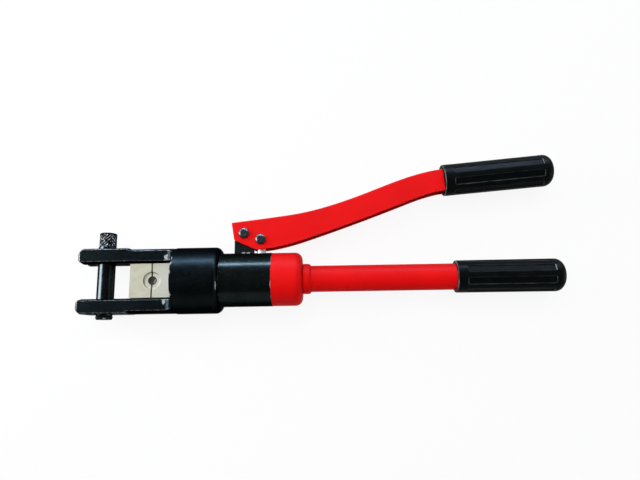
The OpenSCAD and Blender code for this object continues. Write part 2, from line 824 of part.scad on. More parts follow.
module lever_arm() {
    inside_w = lever_w - 2 * lever_wall;
    color(red_paint) difference() {
        translate([0, 0, -lever_w / 2]) linear_extrude(height = lever_w) lever_outline();
        translate([0, 0, -inside_w / 2]) linear_extrude(height = inside_w) lever_inside();
        rod_z(fulcrum_x, fulcrum_y, -lever_w, lever_w, bolt_d + 2 * fit);
        rod_z(fulcrum_x + drive_x, drive_y, -lever_w, lever_w, bolt_d + 2 * fit);
    }
}

module lever_grip() {
    socket_w = lever_w + 2 * tang_clear;
    color(rubber) difference() {
        on_lever_grip() grip_body(lever_grip_len);
        translate([0, 0, -socket_w / 2]) linear_extrude(height = socket_w)
            offset(delta = tang_clear) lever_outline();
    }
}

// A hexagon bolt along -Z through the lever, with its head on the upper face
module lever_bolt(x, y) {
    color(bolt_steel) {
        intersection() {
            hex_z(x, y, lever_w / 2, lever_w / 2 + bolt_head_h);
            translate([x, y, lever_w / 2]) rotate_extrude() polygon([
                [0, 0], [bolt_flats / 2 - head_cut + bolt_head_h, 0],
                [bolt_flats / 2 - head_cut, bolt_head_h], [0, bolt_head_h]
            ]);
        }
        rod_z(x, y, -lever_w / 2 - washer_h - nut_h - thread_past, lever_w / 2 + over, bolt_d);
    }
}

module lever_nut(x, y) {
    color(bolt_steel) difference() {
        hex_z(x, y, -lever_w / 2 - washer_h - nut_h, -lever_w / 2 - washer_h);
        rod_z(x, y, -lever_w, 0, bolt_d + 2 * fit);
    }
}

module fulcrum_bolt() { lever_bolt(fulcrum_x, fulcrum_y); }

module fulcrum_nut() { lever_nut(fulcrum_x, fulcrum_y); }

module drive_bolt() { lever_bolt(plunger_x, drive_y); }

module drive_nut() { lever_nut(plunger_x, drive_y); }

module lever_washers() {
    color(bolt_steel) for (place = [[fulcrum_x, fulcrum_y], [plunger_x, drive_y]]) difference() {
        rod_z(place[0], place[1], -lever_w / 2 - washer_h, -lever_w / 2, washer_d);
        rod_z(place[0], place[1], -lever_w, 0, bolt_d + 2 * fit);
    }
}

// Plunger with a flat eye, slotted so that the drive bolt can follow its arc
module pump_plunger() {
    eye_low = drive_y - eye_top;
    color(bright_steel) difference() {
        union() {
            rod_y(plunger_x, plunger_low, drive_y, plunger_d);
            block(plunger_x - eye_half_x, plunger_x + eye_half_x, eye_low, drive_y + eye_top,
                -lug_w / 2, lug_w / 2);
        }
        block(plunger_x - slot_travel, plunger_x + slot_travel, drive_y - bolt_d / 2 - slot_rise,
            drive_y + bolt_d / 2 + slot_rise, -lug_w, lug_w);
        for (side = [-1, 1])
            rod_z(plunger_x + side * slot_travel, drive_y, -lug_w, lug_w, bolt_d + 2 * slot_rise);
    }
}

module ram() {
    color(bright_steel) difference() {
        union() {
            rod_x(ram_face_x, piston_x + over, ram_d);
            rod_x(piston_x, spigot_x, piston_d - 2 * fit);
        }
        band_x(backup_x, seal_x + seal_len, piston_d + over, ring_d);
        rod_x(spring_hole_x, spigot_x + over, spring_hole_d);
        rod_x(spring_hole_x - stud_stem, spigot_x, stud_stem_d);
        rod_x(ram_face_x - over, ram_face_x + shank_len + slip, shank_d + 2 * fit);
        rod_z(detent_x, 0, 0, ram_d, detent_d);
    }
}

module ram_seal() { color(seal_rubber) band_x(seal_x, seal_x + seal_len, piston_d - 2 * fit, ring_d); }

module backup_ring() { color(seal_plastic) band_x(backup_x, seal_x, piston_d - 2 * fit, ring_d); }

module spring_anchor_front() {
    color(bright_steel) {
        rod_x(spring_hole_x - stud_stem, spring_hole_x + over, stud_stem_d - 2 * fit);
        rod_x(spring_hole_x, stud_front_x, spring_d);
        rod_x(spring_hole_x, stud_front_x + stud_core, spring_core_d);
    }
}

// Spring-nosed screw in the side of the ram that holds the die's shank
module die_detent() {
    color(bright_steel) {
        rod_z(detent_x, 0, shank_d / 2 + loose, ram_d / 2 - loose, detent_d);
        rod_z(detent_x, 0, detent_slot + fit, shank_d / 2 + loose + fit, detent_nose_d);
    }
}

// One die half from the split towards +X, with its tongues and its half of the nest
module die_half_block() {
    difference() {
        union() {
            block(die_split / 2, die_face_x, -die_half, die_half, -die_depth / 2, die_depth / 2);
            block(die_split / 2, die_face_x, -groove_y, groove_y, -tongue_w / 2, tongue_w / 2);
        }
        rod_z(0, 0, -die_depth, die_depth, nest_d);
        for (face = [0, 1]) mirror([0, 0, face]) translate([0, 0, die_depth / 2]) rotate_extrude() polygon([
            [0, -sink_depth], [sink_d / 2 - sink_slope, -sink_depth], [sink_d / 2, 0], [sink_d / 2, over],
            [0, over]
        ]);
    }
}

module ram_die() {
    color(die_steel) difference() {
        union() {
            die_half_block();
            rod_x(die_face_x - over, ram_face_x + shank_len, shank_d);
        }
        band_x(detent_x - detent_nose_d / 2 - fit, detent_x + detent_nose_d / 2 + fit,
            shank_d + over, 2 * detent_slot);
    }
}

module outer_die() {
    color(die_steel) difference() {
        mirror([1, 0, 0]) die_half_block();
        rod_y(seat_x, -head_d, head_d, 2 * seat_r);
    }
}

// Cross pin with its collar, knob and tail
module lock_pin() {
    r = pin_d / 2;
    color(black_steel) translate([pin_x, 0, 0]) rotate([-90, 0, 0]) difference() {
        rotate_extrude() polygon(concat(
            [[0, -pad_h - pin_tail], [tail_d / 2 - tail_edge, -pad_h - pin_tail],
             [tail_d / 2, tail_edge - pad_h - pin_tail], [tail_d / 2, -pad_h], [r, over - pad_h],
             [r, pad_h], [pin_collar_d / 2, pad_h], [pin_collar_d / 2, pad_h + pin_collar_h],
             [r, pad_h + pin_collar_h]],
            arc(r - knob_edge_r, pad_h + pin_collar_h + knob_h - knob_edge_r, knob_edge_r, 0, 90, 6),
            [[0, pad_h + pin_collar_h + knob_h]]
        ));
        translate([0, 0, -pad_h - tail_ring_back]) rotate_extrude() translate([pin_ring_r, 0])
            circle(d = pin_ring_d, $fn = 24);
    }
}

// Rubber ring in the groove of the tail, which keeps the pin from dropping out
module pin_ring() {
    color(seal_rubber) translate([pin_x, -pad_h - tail_ring_back, 0]) rotate([-90, 0, 0])
        rotate_extrude() translate([pin_ring_r, 0]) circle(d = pin_ring_d - 2 * fit, $fn = 24);
}

head_yoke();
ram_bush();
rod_wiper();
pump_body();
body_seal();
reservoir_cap();
cap_seal();
fulcrum_bracket();
gland_nut();
plunger_packing();
suction_seat();
suction_ball();
suction_spring();
suction_plug();
delivery_ball();
delivery_spring();
relief_ball();
relief_spring();
relief_screw();
spring_anchor_rear();
return_spring();
handle_collar();
handle_tube();
handle_grip();
release_needle();
stem_seal();
oil_bladder();
bladder_clamp();
tube_plug();
lever_arm();
lever_grip();
fulcrum_bolt();
fulcrum_nut();
drive_bolt();
drive_nut();
lever_washers();
pump_plunger();
ram();
ram_seal();
backup_ring();
ram_die();
die_detent();
spring_anchor_front();
outer_die();
lock_pin();
pin_ring();
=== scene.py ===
import json
import math

import bmesh
import bpy
from mathutils import Matrix, Vector


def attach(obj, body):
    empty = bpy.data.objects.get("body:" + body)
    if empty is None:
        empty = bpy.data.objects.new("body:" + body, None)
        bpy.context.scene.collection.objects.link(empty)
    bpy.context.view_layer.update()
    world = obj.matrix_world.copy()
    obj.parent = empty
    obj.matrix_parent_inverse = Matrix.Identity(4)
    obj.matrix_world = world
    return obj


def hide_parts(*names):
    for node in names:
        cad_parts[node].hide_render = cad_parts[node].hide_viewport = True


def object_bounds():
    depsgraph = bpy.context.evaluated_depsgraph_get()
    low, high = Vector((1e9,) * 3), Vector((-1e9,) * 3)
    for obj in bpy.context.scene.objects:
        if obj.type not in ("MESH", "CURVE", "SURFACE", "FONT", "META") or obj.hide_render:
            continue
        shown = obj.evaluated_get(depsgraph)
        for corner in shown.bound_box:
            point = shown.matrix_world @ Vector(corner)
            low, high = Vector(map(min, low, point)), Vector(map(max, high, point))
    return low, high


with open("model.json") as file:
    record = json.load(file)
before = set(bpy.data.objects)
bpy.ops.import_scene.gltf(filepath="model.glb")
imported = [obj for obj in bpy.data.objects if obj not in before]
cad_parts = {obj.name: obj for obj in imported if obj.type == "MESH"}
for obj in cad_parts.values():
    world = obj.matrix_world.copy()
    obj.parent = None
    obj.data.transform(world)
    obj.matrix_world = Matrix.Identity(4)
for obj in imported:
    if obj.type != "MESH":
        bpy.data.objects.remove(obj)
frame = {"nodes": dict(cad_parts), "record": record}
cad_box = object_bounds()
nodes = frame["nodes"]
scene = bpy.context.scene
scene.view_settings.view_transform = "Standard"

MM = 0.001
SLOT = {s["node"]: s["material_slot"] for s in frame["record"]["subparts"]}
BODY = {n: b for b, group in frame["record"]["behaviour"]["bodies"].items() for n in group}
# The mesh layer that says how worn each face is; on the grips and the lock pin it says how much painted
# highlight a face gets
EDGE = "edge"


# Materials

# Sockets of a Mix node that is set to colours
MIX_A, MIX_B, MIX_OUT = 6, 7, 2


class Finish:
    """A material under construction, with short names for the nodes it is made of."""

    def __init__(self, name, colour, roughness):
        self.mat = bpy.data.materials.new(name)
        self.mat.use_nodes = True
        self.tree = self.mat.node_tree
        self.shader = self.tree.nodes["Principled BSDF"]
        self.place = self.node("ShaderNodeTexCoord").outputs["Object"]
        self.normal = None
        self.set("Base Color", (*colour, 1))
        self.set("Roughness", roughness)

    def node(self, kind, inputs=None, **settings):
        made = self.tree.nodes.new(kind)
        for key, value in settings.items():
            setattr(made, key, value)
        for key, value in (inputs or {}).items():
            self.feed(made.inputs[key], value)
        return made

    def feed(self, socket, value):
        if isinstance(value, bpy.types.NodeSocket):
            self.tree.links.new(value, socket)
        else:
            socket.default_value = value

    def set(self, name, value):
        self.feed(self.shader.inputs[name], value)

    def noise(self, per_mm, detail=2.0, stretch=(1, 1, 1)):
        """Noise with that many cells to the millimetre, drawn out where stretch is small."""
        scale = tuple(s / MM * per_mm for s in stretch)
        scaled = self.node("ShaderNodeMapping", {"Vector": self.place, "Scale": scale}).outputs["Vector"]
        inputs = {"Vector": scaled, "Scale": 1.0, "Detail": detail}
        return self.node("ShaderNodeTexNoise", inputs).outputs["Fac"]

    def range(self, value, low, high, start=0.0, end=1.0):
        """The value, with low to high carried to start to end, and held at those ends."""
        inputs = {"Value": value, "From Min": low, "From Max": high, "To Min": start, "To Max": end}
        return self.node("ShaderNodeMapRange", inputs).outputs["Result"]

    def combine(self, kind, a, b):
        """Two values put together, and held between 0 and 1."""
        return self.node("ShaderNodeMath", {0: a, 1: b}, operation=kind, use_clamp=True).outputs["Value"]

    def mix(self, share, a, b):
        mixed = self.node("ShaderNodeMix", {0: share}, data_type="RGBA")
        for socket, value in ((MIX_A, a), (MIX_B, b)):
            self.feed(mixed.inputs[socket], (*value, 1) if isinstance(value, tuple) else value)
        return mixed.outputs[MIX_OUT]

    def near(self, centre, radii, soft):
        """1 inside an ellipsoid in millimetres, fading out over a share of its radius, soft.

        A radius of 0 leaves that axis out."""
        scale = [1 / (r * MM) if r else 0.0 for r in radii]
        shift = [-c * MM * k for c, k in zip(centre, scale)]
        inputs = {"Vector": self.place, "Location": shift, "Scale": scale}
        local = self.node("ShaderNodeMapping", inputs).outputs["Vector"]
        far = self.node("ShaderNodeVectorMath", {0: local}, operation="LENGTH").outputs["Value"]
        return self.range(far, 1 - soft, 1.0, 1.0, 0.0)

    def edge(self):
        return self.node("ShaderNodeAttribute", attribute_name=EDGE).outputs["Fac"]

    def bump(self, height, depth_mm):
        inputs = {"Height": height, "Distance": depth_mm * MM, "Strength": 1.0}
        if self.normal is not None:
            inputs["Normal"] = self.normal
        self.normal = self.node("ShaderNodeBump", inputs).outputs["Normal"]
        self.set("Normal", self.normal)


def shade(colour, share):
    return tuple(share * c for c in colour)


# Colours of worn metal and rubber. The steel colour also paints highlights on bright spots and on the lock
# pin's knurl, and the rubber colour paints highlights on the grips' rims
STEEL_WEAR_AND_GLINT = (0.50, 0.52, 0.54)
RUBBED_BOLT = (0.50, 0.52, 0.53)
RUBBER_RIM_SHINE = (0.45, 0.49, 0.51)
# Keeps the reflections of the floor weak where black steel is seen at a slant
SLANT_TINT = (0.18, 0.20, 0.22, 1)


def black_steel(name, base, roughness, grain, metal=0.6, wear_and_shine=0.5, rings=0.0, bright_spots=(), dull=()):
    """Blackened steel: cloudy, with a fine grain and turning marks, worn along its edges. On the lock pin the
    edge layer gives painted highlights on its knurl instead.

    Each bright spot is (centre, radii, how ragged it is); some are bare metal and some are painted glints.
    Each dull place is (centre, radii)."""
    f = Finish(name, base, roughness)
    f.set("Specular IOR Level", 0.0)
    f.set("Specular Tint", SLANT_TINT)
    edge = f.edge()
    # Wear along the edges; on the lock pin, the edge layer makes this the painted highlights on its knurl
    rub_or_shine_mask = f.combine("MULTIPLY", edge, f.range(f.noise(0.35, 5.0), 0.42, 0.70, 0.03, wear_and_shine))
    # Bright spots, drawn as bare metal; some of them are painted highlights standing in for glints
    for centre, radii, ragged in bright_spots:
        close = f.near(centre, radii, 1.0)
        smooth = f.combine("MULTIPLY", close, 1 - ragged)
        torn = f.combine("MULTIPLY", f.noise(0.7, 6.0), ragged)
        level = 0.30 + 0.30 * ragged
        patch = f.range(f.combine("ADD", smooth, torn), level, level + 0.10, 0.0, 0.8)
        rim = f.combine("MULTIPLY", edge, f.range(close, 0.0, 0.3, 0.0, 0.9))
        rub_or_shine_mask = f.combine("MAXIMUM", f.combine("MAXIMUM", rub_or_shine_mask, patch), rim)
    tone = f.mix(f.range(f.noise(0.06, 3.0), 0.35, 0.7), base, shade(base, 1.35))
    for centre, radii in dull:
        tone = f.mix(f.near(centre, radii, 0.1), tone, shade(base, 0.05))
    f.set("Base Color", f.mix(rub_or_shine_mask, tone, STEEL_WEAR_AND_GLINT))
    f.set("Metallic", f.range(rub_or_shine_mask, 0.0, 1.0, metal, 0.0))
    f.set("Roughness", f.range(f.noise(0.35, 4.0), 0.3, 0.75, roughness - 0.06, roughness + 0.08))
    f.bump(f.noise(0.8, 3.0), grain)
    if rings:
        f.bump(f.noise(1.4, 2.0, (1, 0.002, 0.002)), rings)
    return f.mat


def red_enamel(name):
    """Thick enamel: orange peel, a little dulling, and a few worn edges."""
    deep, bright, rub_or_shine = (0.76, 0.0045, 0.0050), (0.82, 0.0055, 0.0060), (0.30, 0.012, 0.012)
    f = Finish(name, (0.79, 0.0050, 0.0055), 0.5)
    f.set("Specular IOR Level", 0.028)
    tone = f.mix(f.range(f.noise(0.03, 3.0), 0.3, 0.7), deep, bright)
    rub_or_shine_mask = f.combine("MULTIPLY", f.edge(), f.range(f.noise(0.16, 5.0), 0.66, 0.74))
    f.set("Base Color", f.mix(rub_or_shine_mask, tone, rub_or_shine))
    f.set("Roughness", f.range(f.noise(0.12, 4.0), 0.3, 0.75, 0.44, 0.58))
    f.bump(f.noise(0.45, 2.0), 0.018)
    f.bump(f.noise(2.2, 3.0), 0.004)
    return f.mat


def die_steel(name):
    """Plated die steel, ground along its length, with dark specks, painted shade in its recess, and its nest
    and the split between the dies darkened nearly to black.
    """
    dark, light, ground_line = (0.455, 0.445, 0.325), (0.54, 0.535, 0.425), (0.35, 0.34, 0.27)
    speck, ram_side, bright_edge = (0.20, 0.19, 0.15), (0.475, 0.485, 0.425), (0.80, 0.79, 0.72)
    recess_shade, near_black = (0.10, 0.095, 0.075), (0.016, 0.014, 0.012)
    f = Finish(name, (0.63, 0.61, 0.52), 0.42)
    f.set("Specular IOR Level", 0.15)
    grind = f.noise(2.2, 3.0, (0.03, 1, 1))
    cloud = f.noise(0.12, 4.0)
    tone = f.mix(f.range(cloud, 0.3, 0.7), dark, light)
    tone = f.mix(f.range(grind, 0.45, 0.8, 0.0, 0.35), tone, ground_line)
    tone = f.mix(f.range(f.noise(0.55, 2.0), 0.70, 0.76, 0.0, 0.55), tone, speck)
    tone = f.mix(f.near((12, 0, 0), (14, 0, 0), 1.0), tone, ram_side)
    tone = f.mix(f.combine("MULTIPLY", f.edge(), 0.6), tone, bright_edge)
    # Painted shade: a dark crescent round the upper-left wall of the recess, the side turned from the light
    recess = f.near((0, 0, 0), (9.2, 9.2, 0), 0.04)
    shifted_disc = f.near((1.1, -0.9, 0), (8.7, 8.7, 0), 0.16)
    painted_shade = f.combine("SUBTRACT", recess, shifted_disc)
    tone = f.mix(f.combine("MULTIPLY", painted_shade, f.range(cloud, 0.3, 0.6, 0.45, 0.8)), tone, recess_shade)
    # The nest and the split between the dies, darkened nearly to black
    nest = f.near((0.4, 0, 0), (4.6, 4.6, 0), 0.06)
    split = f.near((0, 0, 0), (0.85, 0, 0), 0.30)
    f.set("Base Color", f.mix(f.combine("MAXIMUM", nest, split), tone, near_black))
    f.set("Roughness", f.range(grind, 0.3, 0.7, 0.44, 0.60))
    f.bump(grind, 0.012)
    return f.mat


def bare_metal(name, dark, light, roughness, grain=0.006, stretch=(1, 1, 1), metal=1.0):
    """Bare metal with tool marks and a little tarnish."""
    f = Finish(name, light, roughness)
    f.set("Metallic", metal)
    marks = f.noise(1.6, 3.0, stretch)
    f.set("Base Color", f.mix(f.range(f.noise(0.15, 4.0), 0.35, 0.7), light, dark))
    f.set("Roughness", f.range(marks, 0.3, 0.7, roughness - 0.08, roughness + 0.10))
    f.bump(marks, grain)
    return f.mat


def bolt_steel(name):
    """Blued hexagon heads, worn bright round their edges."""
    base, cloudy = (0.0085, 0.0135, 0.0180), (0.015, 0.023, 0.031)
    f = Finish(name, base, 0.30)
    f.set("Specular IOR Level", 0.3)
    rub_or_shine_mask = f.combine("MULTIPLY", f.edge(), f.range(f.noise(0.5, 4.0), 0.50, 0.74, 0.0, 0.35))
    tone = f.mix(f.range(f.noise(0.4, 4.0), 0.35, 0.7), base, cloudy)
    f.set("Base Color", f.mix(rub_or_shine_mask, tone, RUBBED_BOLT))
    f.set("Metallic", f.combine("MULTIPLY", rub_or_shine_mask, 0.7))
    f.set("Roughness", f.range(f.noise(0.9, 4.0), 0.3, 0.7, 0.20, 0.36))
    f.bump(f.noise(2.0, 3.0), 0.010)
    return f.mat


def rubber(name, base, roughness, grain):
    """Moulded rubber: fine grain, polished patches and a trace of dust, with painted highlights on the rims
    that the edge layer marks.
    """
    f = Finish(name, base, roughness)
    f.set("Specular IOR Level", 0.02)
    tone = f.mix(f.range(f.noise(0.25, 5.0), 0.5, 0.8, 0.0, 0.5), base, shade(base, 2.2))
    # Painted highlights on the rims marked in the edge layer
    rub_or_shine_mask = f.combine("MULTIPLY", f.edge(), f.range(f.noise(0.10, 5.0), 0.36, 0.66, 0.12, 0.8))
    f.set("Base Color", f.mix(rub_or_shine_mask, tone, RUBBER_RIM_SHINE))
    f.set("Roughness", f.range(f.noise(0.05, 3.0), 0.3, 0.7, roughness - 0.08, roughness + 0.10))
    f.bump(f.noise(1.8, 4.0), grain)
    return f.mat


# Bright spots at the root of the fork, where the cutter ran out, and along both ends of its barrel. Those at
# the root and the one at the barrel's rear edge are painted highlights standing in for glints; those along the
# front edge are bright flecks
ROOT_SPOTS = [
    ((15.0, 22.8, 14.6), (3.4, 5.0, 3.2), 0.5),
    ((14.2, -22.0, 14.6), (2.8, 5.0, 3.0), 0.5),
    ((24.2, 20.0, 27.0), (1.5, 4.0, 6.0), 0.6),
    ((24.2, 14.5, 30.7), (2.0, 4.5, 4.0), 0.6),
    ((24.2, 6.0, 33.4), (2.0, 5.5, 4.0), 0.6),
    ((24.2, -16.0, 30.0), (2.0, 6.5, 4.0), 0.6),
    ((68.9, -9.0, 31.0), (0.7, 9.0, 4.0), 0.5),
]
# A bright fleck at the pump body's joint with the cap, and painted highlights at the foot of the lug, standing
# in for glints off a weld bead
JOINT_SPOTS = [((121.6, -7.5, 26.0), (1.0, 4.5, 4.0), 0.6)]
WELD_GLINTS = [((92.3, 27.2, 0), (3.0, 0.9, 0), 0.1), ((97.3, 27.2, 0), (2.8, 0.9, 0), 0.1)]
# Painted highlights on the rim of the lock pin's tail, and the ground of its knurl darkened nearly to black
TAIL_GLINTS = [((-56.6, -36.6, 5.3), (1.9, 1.4, 3.0), 0.2), ((-47.3, -36.9, 7.3), (2.2, 1.2, 3.0), 0.3)]
KNURLED = [((0, 44.0, 0), (0, 7.2, 0))]
# Stretch of the marks on pieces turned about the ram's axis
TURNING = (1, 0.02, 0.02)

HEAD = black_steel("black_head", (0.0047, 0.0065, 0.0071), 0.34, 0.004,
                   metal=0.8, wear_and_shine=0.35, rings=0.002, bright_spots=ROOT_SPOTS)
BARREL = black_steel("black_barrel", (0.0092, 0.0120, 0.0118), 0.23, 0.002,
                     metal=0.72, rings=0.002, bright_spots=JOINT_SPOTS)
PIN = black_steel("black_pin", (0.0190, 0.0218, 0.0226), 0.22, 0.002,
                  metal=0.93, wear_and_shine=0.8, bright_spots=TAIL_GLINTS, dull=KNURLED)
LUG = black_steel("black_lug", (0.0098, 0.0112, 0.0108), 0.45, 0.012, bright_spots=WELD_GLINTS)
RED = red_enamel("red_enamel")
DIE = die_steel("die_steel")
BOLT = bolt_steel("bolt_steel")
GRIP = rubber("grip_rubber", (0.0026, 0.0036, 0.0036), 0.40, 0.010)
CHROME = bare_metal("chrome", (0.50, 0.48, 0.45), (0.66, 0.64, 0.61), 0.42, 0.002, (1, 0.05, 1), 0.3)
TURNED = bare_metal("turned_steel", (0.42, 0.42, 0.41), (0.60, 0.60, 0.58), 0.26, 0.005, TURNING)
SPRING = bare_metal("spring_steel", (0.16, 0.16, 0.17), (0.30, 0.31, 0.33), 0.34)
BRONZE = bare_metal("bronze", (0.36, 0.22, 0.09), (0.55, 0.36, 0.15), 0.32, 0.005, TURNING)
SEAL = rubber("seal_rubber", (0.010, 0.010, 0.011), 0.50, 0.012)
PLASTIC = rubber("seal_plastic", (0.42, 0.41, 0.38), 0.45, 0.006)
BY_SLOT = {
    "blackened_steel": LUG, "red_paint": RED, "die_steel": DIE, "bright_steel": TURNED,
    "spring_steel": SPRING, "bolt_steel": BOLT, "bronze": BRONZE, "grip_rubber": GRIP,
    "seal_rubber": SEAL, "seal_plastic": PLASTIC,
}
for node, obj in nodes.items():
    obj.data.materials.clear()
    obj.data.materials.append(CHROME if node == "pump_plunger" else BY_SLOT[SLOT[node]])


# Pieces

# Points closer than WELD, in millimetres, are one, and faces that turn less than FLAT are one
WELD, FLAT = 0.002, math.radians(0.4)
# Edges that turn more than SHARP can be rounded, and those that turn more than a crease stay hard
SHARP, CREASE, SKIN_CREASE = (math.radians(a) for a in (24, 34, 50))


def piece(name, mesh, material, node):
    """A finished piece that stands for a CAD node and moves with its body."""
    obj = bpy.data.objects.new(name, mesh)
    mesh.materials.append(material)
    scene.collection.objects.link(obj)
    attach(obj, BODY[node])
    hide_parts(node)
    even = obj.modifiers.new("even_normals", "WEIGHTED_NORMAL")
    even.keep_sharp = True
    return obj


def smoothed(bm, crease):
    for f in bm.faces:
        f.smooth = True
    for e in bm.edges:
        e.smooth = e.calc_face_angle(0) < crease


def reworked(node, material, *passes, shape=None):
    """A copy of a CAD node with its edges rounded, after any change of shape.

    Each pass is (which edges, width, steps), and leaves alone what an earlier one rounded."""
    bm = bmesh.new()
    bm.from_mesh(nodes[node].data)
    bmesh.ops.remove_doubles(bm, verts=bm.verts, dist=WELD * MM)
    bmesh.ops.dissolve_limit(bm, angle_limit=FLAT, verts=bm.verts, edges=bm.edges)
    bmesh.ops.recalc_face_normals(bm, faces=bm.faces)
    if shape is not None:
        shape(bm)
    edge = bm.faces.layers.float.new(EDGE)
    for pick, width, steps in passes:
        chosen = [e for e in bm.edges if e.is_manifold and e.calc_face_angle(0) > SHARP
                  and not any(f[edge] for f in e.link_faces)
                  and pick(*((e.verts[0].co + e.verts[1].co) / 2 / MM), e)]
        made = bmesh.ops.bevel(bm, geom=chosen, offset=width * MM, offset_type="OFFSET", segments=steps,
                               profile=0.5, affect="EDGES", clamp_overlap=False, material=-1)
        for f in made["faces"]:
            f[edge] = 1.0
    smoothed(bm, CREASE)
    mesh = bpy.data.meshes.new(node + "_fine")
    bm.to_mesh(mesh)
    bm.free()
    return piece(node + "_fine", mesh, material, node)


def rings_mesh(name, rows, first, last, marks):
    """A closed skin over rows of points, shut at its ends by the points first and last.

    Marks says how much painted highlight each point of the rows gets."""
    around = len(rows[0])
    points = [first] + [p for row in rows for p in row] + [last]
    end = len(points) - 1
    faces = []
    for k in range(around):
        n = (k + 1) % around
        faces.append((0, 1 + n, 1 + k))
        for i in range(len(rows) - 1):
            a, b = 1 + i * around, 1 + (i + 1) * around
            faces.append((a + k, a + n, b + n, b + k))
        faces.append((end, end - around + k, end - around + n))
    rub_or_shine = [0.0] + [m for row in marks for m in row] + [0.0]
    mesh = bpy.data.meshes.new(name)
    mesh.from_pydata(points, [], faces)
    bm = bmesh.new()
    bm.from_mesh(mesh)
    bmesh.ops.recalc_face_normals(bm, faces=bm.faces)
    edge = bm.faces.layers.float.new(EDGE)
    for f in bm.faces:
        f[edge] = sum(rub_or_shine[v.index] for v in f.verts) / len(f.verts)
    smoothed(bm, SKIN_CREASE)
    bm.to_mesh(mesh)
    bm.free()
    return mesh


def point(x, y, z):
    """A place given in millimetres."""
    return Vector((x * MM, y * MM, z * MM))


def step(value, low, high):
    """0 below low and 1 above high, with a smooth rise between."""
    t = min(1.0, max(0.0, (value - low) / (high - low)))
    return t * t * (3 - 2 * t)


def sweep(first, last, steps):
    """Angles in radians, from a first to a last given in degrees."""
    return [math.radians(first + (last - first) * i / steps) for i in range(steps + 1)]


# Grips, in millimetres along them from the lip

HANDLE_GRIP, HANDLE_HOLE, HANDLE_HOLE_R, HANDLE_GRIP_X = 110.0, 104.2, 13.5, 308.6
LEVER_GRIP, LEVER_HOLE, LEVER_GRIP_X, LEVER_GRIP_Y = 115.3, 98.0, 301.5, 102.15
LEVER_SLOPE = math.radians(4.8)
# The square hole for the lever, from the grip's axis to its walls
TANG_SIDE, TANG_UP, TANG_DOWN, TINY = 9.1, 10.8, 12.4, 1e-6
LIP_R, END_R = 16.53, 16.82
# The mouth of the hole, as (place, widening), then the rolled lip and the domed end
MOUTH = ((1.0, 0.0), (0.25, 0.25), (0.0, 0.8))
# Some rows of the rolled lip get a painted highlight along its rim
LIP_ROUND, LIP_STEPS, LIP_LIT_ROWS, LIP_SHINE = 1.2, 6, (2, 3, 4), 0.7
DOME, DOME_FLAT, DOME_STEPS, DOME_TIP_R = 9.0, 0.45, 13, 3.0
PANELS, PANEL_HALF, PANEL_FLOOR, PANEL_CORNER = 8, 3.3, 15.65, 0.7
PANEL_START, PANEL_STOP = 10.4, 12.3
PERIOD = 2 * math.pi / PANELS
# Rows of points before the panels, about each end of a panel, between those, and behind the panels
FRONT_ROWS = (1.8, 3, 5, 7, 8.6)
PANEL_ROWS = (-0.9, -0.4, -0.2, -0.08, 0.04, 0.16, 0.3, 0.7, 2.5)
MIDDLE_ROWS = 16
BACK_ROWS = (10.2, 9.3)
# Distances of the points from the middle of a panel, round the grip
ACROSS = (0, 1.1, 2.1, 2.7, 2.95, 3.1, 3.22, 3.34, 3.46, 3.65, 4.2, 5.2)
# Painted highlights on the rims of the panels, where they would catch the light: along their sides, and at
# their lip and dome ends. The panels just above and just below the middle get the most
SIDE_SHINE, LIP_END_SHINE, DOME_END_SHINE = 0.08, 0.2, 0.3
HIGH_PANEL, HIGH_DOME_END_SHINE = 0, 3.5
LOW_PANEL, LOW_SIDE_SHINE, LOW_LIP_END_SHINE = 7, 0.2, 0.5


def grip_angles():
    half = [math.asin(a / LIP_R) for a in ACROSS]
    angles = []
    for i in range(PANELS):
        middle = (i + 0.5) * PERIOD
        angles += [middle - a for a in reversed(half[1:])] + [middle + a for a in half]
        angles.append(middle + PERIOD / 2)
    return angles


def grip_radius(s, angle, length):
    """Radius of the outside of a grip at a place along it and round it, and the painted highlight on a panel's
    rim there.
    """
    r = LIP_R + (END_R - LIP_R) * s / length
    off = angle % PERIOD - PERIOD / 2
    middle = (PANEL_START + length - PANEL_STOP) / 2
    x = abs(r * math.sin(off)) - PANEL_HALF + PANEL_CORNER
    y = abs(s - middle) - (length - PANEL_STOP - middle) + PANEL_CORNER
    # Distance outside the panel's outline, which has rounded corners
    out = math.hypot(max(x, 0), max(y, 0)) + min(max(x, y), 0) - PANEL_CORNER
    sunk = 1 - step(out, -0.28, 0.22)
    panel = int(angle % (2 * math.pi) / PERIOD)
    if y <= x:
        rub_or_shine = LOW_SIDE_SHINE if panel == LOW_PANEL and off < 0 else SIDE_SHINE
    elif s > middle:
        rub_or_shine = HIGH_DOME_END_SHINE if panel == HIGH_PANEL else DOME_END_SHINE
    else:
        rub_or_shine = LOW_LIP_END_SHINE if panel == LOW_PANEL else LIP_END_SHINE
    rim = step(out, -0.05, 0.15) * (1 - step(out, 0.30, 0.50)) * rub_or_shine
    return r + sunk * (min(r, PANEL_FLOOR / math.cos(off)) - r), rim


